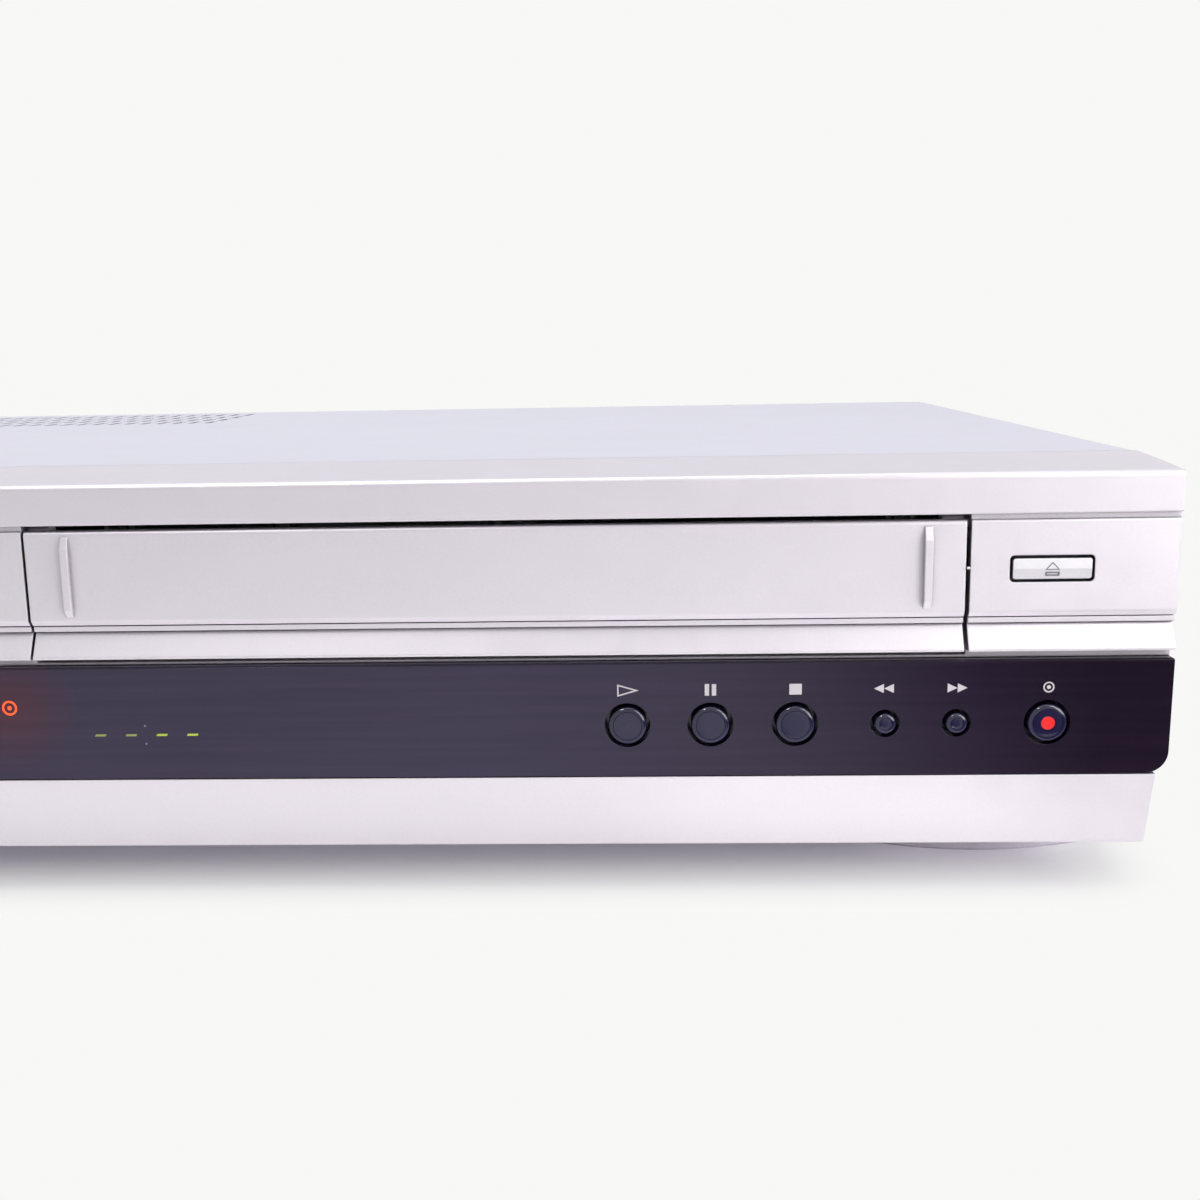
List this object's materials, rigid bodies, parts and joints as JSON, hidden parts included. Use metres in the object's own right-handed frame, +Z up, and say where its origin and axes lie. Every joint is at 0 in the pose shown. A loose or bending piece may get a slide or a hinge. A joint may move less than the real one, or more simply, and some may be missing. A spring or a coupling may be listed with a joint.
{
  "type": "disc player and cassette recorder",
  "caption": "Full-width disc player and cassette recorder in one case: hinged cassette door, sliding disc tray, sprung buttons and both drives inside.",
  "frame": {"origin": "on the table, below the middle of the whole object", "axes": "+X to the right along the front, +Y from the front to the back, +Z up"},
  "size_m": [0.4308, 0.2642, 0.0994],
  "materials": {
    "cover_paint": "satin silver paint",
    "silver_plastic": "satin metallic moulding",
    "silver_button": "satin metallic moulding",
    "black_gloss": "polished smoked acrylic",
    "black_button": "gloss black moulding",
    "foot_plastic": "matt grey moulding",
    "zinc_steel": "zinc plated sheet",
    "screw_steel": "plated",
    "rear_paint": "satin paint",
    "rubber_black": "matt",
    "board_green": "solder resist",
    "board_tan": "bare paper board",
    "part_black": "moulded",
    "socket_black": "moulded",
    "display_glass": "clear, dark behind",
    "tin_plate": "tinned",
    "ferrite": "matt",
    "cable_white": "satin",
    "loader_black": "moulded",
    "tray_grey": "fine matt",
    "gear_white": "acetal",
    "lens_carrier": "moulded",
    "rod_steel": "polished",
    "clamp_white": "moulded",
    "drum_alloy": "turned and polished",
    "reel_black": "moulded",
    "roller_rubber": "ground rubber",
    "head_brass": "polished",
    "spring_steel": "drawn wire"
  },
  "bodies": {
    "case": {"top_cover": "cover_paint", "bottom_chassis": "zinc_steel", "rear_panel": "rear_paint", "front_bezel": "silver_plastic", "display_strip": "black_gloss", "door_spring": "spring_steel", "feet": "foot_plastic", "case_screws": "screw_steel", "cord_gland": "rubber_black", "front_boards": "board_tan", "tact_switches": "part_black", "display_tube": "display_glass", "front_sockets": "socket_black", "main_board": "board_green", "power_board": "board_tan", "board_parts": "part_black", "transformer": "ferrite", "tuner_can": "tin_plate", "rear_sockets": "socket_black", "flat_cables": "cable_white", "loader_frame": "loader_black", "loading_motor": "tin_plate", "clamp_bridge": "zinc_steel", "mech_deck": "zinc_steel", "side_brackets": "zinc_steel", "lower_drum": "drum_alloy", "capstan_motor": "board_green", "tape_heads": "head_brass", "guide_posts": "rod_steel"},
    "door": {"cassette_door": "silver_plastic"},
    "tray": {"disc_tray": "tray_grey", "tray_front": "silver_plastic"},
    "tray_drive": {"tray_gear": "gear_white"},
    "motor_drive": {"motor_gear": "gear_white"},
    "traverse": {"traverse_frame": "zinc_steel", "spindle_motor": "tin_plate", "sled_rods": "rod_steel"},
    "disc_table": {"turntable": "part_black"},
    "sled": {"pickup_sled": "lens_carrier"},
    "clamp": {"disc_clamp": "clamp_white"},
    "slider": {"holder_slider": "zinc_steel"},
    "holder": {"cassette_holder": "zinc_steel"},
    "supply": {"supply_reel": "reel_black"},
    "takeup": {"takeup_reel": "reel_black"},
    "drum": {"upper_drum": "drum_alloy"},
    "capstan_shaft": {"capstan": "rod_steel"},
    "nip_arm": {"pinch_arm": "zinc_steel"},
    "nip_roller": {"pinch_roller": "roller_rubber"},
    "play_key": {"play_button": "black_button"},
    "pause_key": {"pause_button": "black_button"},
    "stop_key": {"stop_button": "black_button"},
    "rewind_key": {"rewind_button": "black_button"},
    "forward_key": {"forward_button": "black_button"},
    "record_key": {"record_button": "black_button"},
    "open_close_key": {"open_close_button": "black_button"},
    "source_key": {"source_button": "black_button"},
    "channel_down_key": {"channel_down_button": "black_button"},
    "channel_up_key": {"channel_up_button": "black_button"},
    "cassette_eject_key": {"cassette_eject_button": "silver_button"},
    "power_key": {"power_button": "silver_button"}
  },
  "joints": [
    {"name": "play_press", "type": "slide", "parent": "case", "child": "play_key", "axis": [0, 1, 0], "range_m": [0, 0.0008], "stiffness_N_per_m": 400, "springref_m": -0.0005},
    {"name": "pause_press", "type": "slide", "parent": "case", "child": "pause_key", "axis": [0, 1, 0], "range_m": [0, 0.0008], "stiffness_N_per_m": 400, "springref_m": -0.0005},
    {"name": "stop_press", "type": "slide", "parent": "case", "child": "stop_key", "axis": [0, 1, 0], "range_m": [0, 0.0008], "stiffness_N_per_m": 400, "springref_m": -0.0005},
    {"name": "rewind_press", "type": "slide", "parent": "case", "child": "rewind_key", "axis": [0, 1, 0], "range_m": [0, 0.0008], "stiffness_N_per_m": 400, "springref_m": -0.0005},
    {"name": "forward_press", "type": "slide", "parent": "case", "child": "forward_key", "axis": [0, 1, 0], "range_m": [0, 0.0008], "stiffness_N_per_m": 400, "springref_m": -0.0005},
    {"name": "record_press", "type": "slide", "parent": "case", "child": "record_key", "axis": [0, 1, 0], "range_m": [0, 0.0008], "stiffness_N_per_m": 400, "springref_m": -0.0005},
    {"name": "open_close_press", "type": "slide", "parent": "case", "child": "open_close_key", "axis": [0, 1, 0], "range_m": [0, 0.0008], "stiffness_N_per_m": 400, "springref_m": -0.0005},
    {"name": "source_press", "type": "slide", "parent": "case", "child": "source_key", "axis": [0, 1, 0], "range_m": [0, 0.0008], "stiffness_N_per_m": 400, "springref_m": -0.0005},
    {"name": "channel_down_press", "type": "slide", "parent": "case", "child": "channel_down_key", "axis": [0, 1, 0], "range_m": [0, 0.0008], "stiffness_N_per_m": 400, "springref_m": -0.0005},
    {"name": "channel_up_press", "type": "slide", "parent": "case", "child": "channel_up_key", "axis": [0, 1, 0], "range_m": [0, 0.0008], "stiffness_N_per_m": 400, "springref_m": -0.0005},
    {"name": "cassette_eject_press", "type": "slide", "parent": "case", "child": "cassette_eject_key", "axis": [0, 1, 0], "range_m": [0, 0.0008], "stiffness_N_per_m": 400, "springref_m": -0.0005},
    {"name": "power_press", "type": "slide", "parent": "case", "child": "power_key", "axis": [0, 1, 0], "range_m": [0, 0.0008], "stiffness_N_per_m": 400, "springref_m": -0.0005},
    {"name": "door_swing", "type": "hinge", "parent": "case", "child": "door", "pos_m": [0, -0.1265, 0.086], "axis": [1, 0, 0], "range_deg": [0, 92], "stiffness_Nm_per_rad": 0.01, "springref_deg": -28.65},
    {"name": "tray_slide", "type": "slide", "parent": "case", "child": "tray", "axis": [0, -1, 0], "range_m": [0, 0.14]},
    {"name": "tray_gear_spin", "type": "hinge", "parent": "case", "child": "tray_drive", "pos_m": [-0.164, -0.0969, 0.073], "axis": [0, 0, 1], "range_deg": [0, 1004]},
    {"name": "motor_gear_spin", "type": "hinge", "parent": "case", "child": "motor_drive", "pos_m": [-0.1412, -0.0969, 0.073], "axis": [0, 0, 1], "range_deg": [-3762, 0]},
    {"name": "traverse_lift", "type": "slide", "parent": "case", "child": "traverse", "axis": [0, 0, 1], "range_m": [0, 0.0055]},
    {"name": "turntable_spin", "type": "hinge", "parent": "traverse", "child": "disc_table", "pos_m": [-0.119, -0.0629, 0.073], "axis": [0, 0, 1], "continuous": true},
    {"name": "sled_slide", "type": "slide", "parent": "traverse", "child": "sled", "axis": [0, 1, 0], "range_m": [0, 0.035]},
    {"name": "clamp_spin", "type": "hinge", "parent": "case", "child": "clamp", "pos_m": [-0.119, -0.0629, 0.086], "axis": [0, 0, 1], "continuous": true},
    {"name": "slider_back", "type": "slide", "parent": "case", "child": "slider", "axis": [0, 1, 0], "range_m": [0, 0.0654]},
    {"name": "holder_drop", "type": "slide", "parent": "slider", "child": "holder", "axis": [0, 0, -1], "range_m": [0, 0.028]},
    {"name": "supply_spin", "type": "hinge", "parent": "case", "child": "supply", "pos_m": [0.0169, -0.0109, 0.036], "axis": [0, 0, 1], "continuous": true},
    {"name": "takeup_spin", "type": "hinge", "parent": "case", "child": "takeup", "pos_m": [0.1089, -0.0109, 0.036], "axis": [0, 0, 1], "continuous": true},
    {"name": "drum_spin", "type": "hinge", "parent": "case", "child": "drum", "pos_m": [0.0629, 0.0821, 0.037], "axis": [0.0872, 0, 0.9962], "continuous": true},
    {"name": "capstan_spin", "type": "hinge", "parent": "case", "child": "capstan_shaft", "pos_m": [0.1069, 0.0551, 0.026], "axis": [0, 0, 1], "continuous": true},
    {"name": "nip_arm_swing", "type": "hinge", "parent": "case", "child": "nip_arm", "pos_m": [0.1369, 0.0691, 0.036], "axis": [0, 0, -1], "range_deg": [0, 18]},
    {"name": "nip_roller_spin", "type": "hinge", "parent": "nip_arm", "child": "nip_roller", "pos_m": [0.1203, 0.04116, 0.038], "axis": [0, 0, 1], "continuous": true}
  ],
  "couplings": [
    {"joint": "tray_gear_spin", "follows": "tray_slide", "rad_per_m": 125},
    {"joint": "motor_gear_spin", "follows": "tray_slide", "rad_per_m": -468.75}
  ]
}
